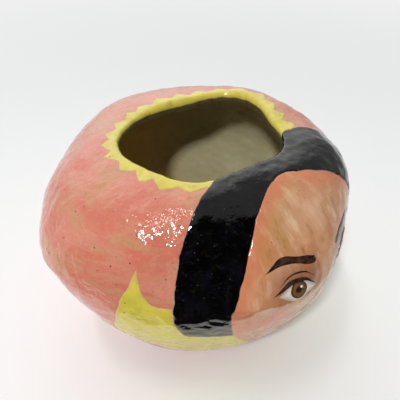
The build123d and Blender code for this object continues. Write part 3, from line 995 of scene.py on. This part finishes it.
def face_pieces(face):
    """The face, and its features stacked up on it in the order that they would be painted."""
    brown = brown_slip()
    iris = (eye_spacing / 2, eye_line + 0.25 * iris_radius)
    glint = (iris[0] - 0.3 * iris_radius, iris[1] + 0.25 * iris_radius)
    raised = slip_thickness
    eye_shape = eye_loop()
    iris_shape = disc_loop(iris, iris_radius, eye_shape)
    coat("face_coat", [face], skin_slip("skin_slip", 0.85), "face_slip")
    coat("nose_coat", [nose_loop()], skin_slip("nose_slip", 0.0), "nose_slip",
         under=0.8 * raised, thickness=nose_thickness, edge=nose_edge_width)
    coat("mouth_coat", [lip_loop()], lip_slip(), "lip_slip", under=0.5 * raised,
         spacing=mouth_spacing)
    # Each pair's name, outline, material, slot, node, height over the clay and spacing of points
    pairs = (
        ("brow_coat", brow_loop(), brown, "brown_slip", "brow_slip", raised, 0.7),
        ("eye_coat", eye_shape, white_slip(), "white_slip", "eye_slip", raised, 0.6),
        ("iris_coat", iris_shape, iris_slip(), "brown_slip", "iris_slip", raised + 0.12, 0.5),
        ("pupil_coat", disc_loop(iris, pupil_radius), brown, "brown_slip", None, raised + 0.22, 0.4),
        ("glint_coat", disc_loop(glint, glint_radius), plain_glint(), "white_slip", None, raised + 0.32, 0.3),
        ("lash_coat", lash_loop(), brown, "brown_slip", None, raised + 0.2, 0.5),
        ("crease_coat", crease_loop(), brown, "brown_slip", None, raised, 0.4),
    )
    for name, loop, material, slot, node, under, spacing in pairs:
        coat(name, [loop, mirrored(loop)], material, node,
             under=under, thickness=line_thickness, spacing=spacing)


# Floor, light and camera

def sheet(name, corners, material):
    """One flat face with a material."""
    mesh = bpy.data.meshes.new(name)
    mesh.from_pydata(corners, [], [(0, 1, 2, 3)])
    mesh.materials.append(material)
    piece = bpy.data.objects.new(name, mesh)
    bpy.context.scene.collection.objects.link(piece)
    return piece


def floor_piece():
    """A matt white floor that fades, for the camera only, into a pale backdrop."""
    paint = Paint("floor")
    colour = paint.blend(paint.noise(60, 3), (0.915, 0.935, 0.945), (0.93, 0.95, 0.96))
    material = paint.finish(colour, 0.9, paint.noise(8, 3), 0.02, specular=0.0)
    away = paint.vector("LENGTH", paint.place, output="Value")
    seen = paint.node("ShaderNodeLightPath").outputs["Is Camera Ray"]
    pale = paint.node("ShaderNodeEmission")
    pale.inputs["Strength"].default_value = backdrop_level
    mixed = paint.node("ShaderNodeMixShader")
    paint.feed(mixed.inputs[0], paint.math("MULTIPLY", paint.ramp(away, *backdrop_fade), seen))
    paint.feed(mixed.inputs[1], paint.shader.outputs[0])
    paint.feed(mixed.inputs[2], pale.outputs[0])
    paint.feed(paint.tree.nodes["Material Output"].inputs["Surface"], mixed.outputs[0])
    signs = ((-1, -1), (1, -1), (1, 1), (-1, 1))
    floor = sheet("floor", [(x * floor_reach, y * floor_reach, 0) for x, y in signs], material)


def flag():
    """A black card on the floor in front of the vase, seen only as a dark reflection in the glaze."""
    towards = Vector((-camera_looks[0], -camera_looks[1], 0)).normalized()
    aside = towards.cross(Vector((0, 0, 1)))
    ends = ((flag_start, -1), (flag_start, 1), (flag_end, 1), (flag_end, -1))
    corners = [towards * reach + aside * (side * flag_width) for reach, side in ends]
    paint = Paint("flag")
    colour = paint.blend(paint.noise(40, 2), (0.01, 0.01, 0.01), (0.016, 0.016, 0.016))
    material = paint.finish(colour, 0.9, paint.noise(3, 2), 0.02, specular=0.0)
    card = sheet("flag", [(x, y, flag_height) for x, y, _ in corners], material)
    card.visible_camera = False
    card.visible_diffuse = False
    card.visible_shadow = False


def sky():
    """Soft light from all round: a bright wall behind the vase, a dimmer ceiling and a dark room in front."""
    world = bpy.data.worlds.new("sky")
    world.use_nodes = True
    nodes = Nodes(world.node_tree)
    place = nodes.node("ShaderNodeTexCoord").outputs["Generated"]
    towards = nodes.vector("DOT_PRODUCT", place, sky_axis, output="Value")
    light = nodes.math("ADD", *(nodes.ramp(towards, *step) for step in sky_steps))
    level = nodes.node("ShaderNodeMix")
    nodes.feed(level.inputs["Factor"], nodes.node("ShaderNodeLightPath").outputs["Is Camera Ray"])
    nodes.feed(level.inputs[2], light)
    nodes.feed(level.inputs[3], backdrop_level)
    background = nodes.tree.nodes["Background"]
    nodes.feed(background.inputs["Strength"], level.outputs[0])
    nodes.feed(background.inputs["Color"], sky_colour)
    bpy.context.scene.world = world


def lamp(name, place, sizes, watts):
    """A soft lamp aimed at the vase, its second side lying away from the camera."""
    light = bpy.data.lights.new(name, "AREA")
    light.shape = "RECTANGLE"
    light.size, light.size_y = sizes
    light.energy = watts
    light.color = lamp_colour
    back = (Vector(place) - Vector((0, 0, belly_height * MM))).normalized()
    across = Vector(camera_looks).cross(back).normalized()
    holder = bpy.data.objects.new(name, light)
    holder.location = place
    holder.rotation_euler = Matrix((across, back.cross(across), back)).transposed().to_euler()
    bpy.context.scene.collection.objects.link(holder)


def camera():
    """The camera that took the photograph."""
    data = bpy.data.cameras.new("camera")
    data.lens = camera_lens
    data.sensor_width = camera_sensor
    data.clip_start = camera_clip
    holder = bpy.data.objects.new("camera", data)
    holder.location = Vector(camera_place) * MM
    holder.rotation_euler = Vector(camera_looks).to_track_quat("-Z", "Y").to_euler()
    bpy.context.scene.collection.objects.link(holder)
    bpy.context.scene.camera = holder


clay_pieces(pink_glaze(), yellow_slip("rim_slip", 0.2, 0.36, 0.25), liner_glaze())
face_shape = face_loop()
slip_pieces(yellow_slip("yellow_slip", 0.06, 0.16, 0.5), face_shape)
face_pieces(face_shape)
floor_piece()
sky()
lamp("front_lamp", front_place, front_sizes, front_watts)
lamp("ceiling_lamp", ceiling_place, ceiling_sizes, ceiling_watts)
flag()
camera()
bpy.context.scene.view_settings.view_transform = "Standard"
